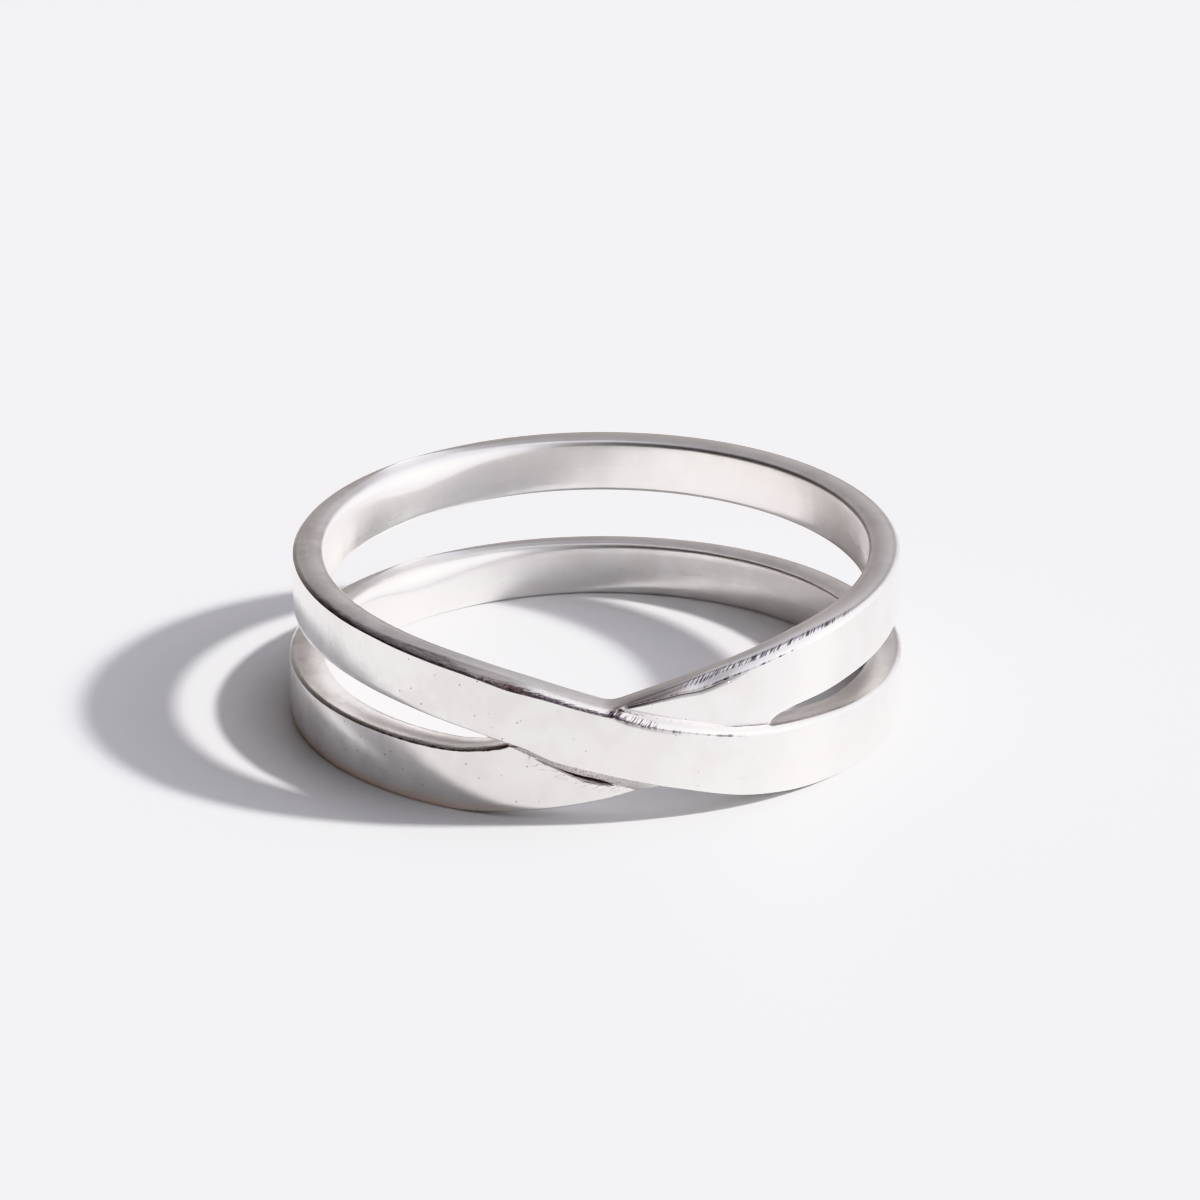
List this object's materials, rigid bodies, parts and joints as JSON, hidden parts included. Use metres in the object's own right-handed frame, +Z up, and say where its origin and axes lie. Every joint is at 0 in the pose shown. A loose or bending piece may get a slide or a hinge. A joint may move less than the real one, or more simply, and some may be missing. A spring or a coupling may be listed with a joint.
{
  "type": "double layer ring",
  "caption": "Plain finger ring of a flat metal strip in a double layer, with parallel bands at the back that cross over each other at the front.",
  "frame": {"origin": "centre of the finger hole, on the surface that the ring lies on", "axes": "+Z up along the finger hole, -Y to the front where the strands cross, +X to the right seen from the front"},
  "size_m": [0.0197, 0.0196, 0.0055],
  "materials": {
    "silver": "polished silver with fine wear scratches, satin edges"
  },
  "bodies": {
    "root": {"crossover_band": "silver"}
  },
  "joints": []
}
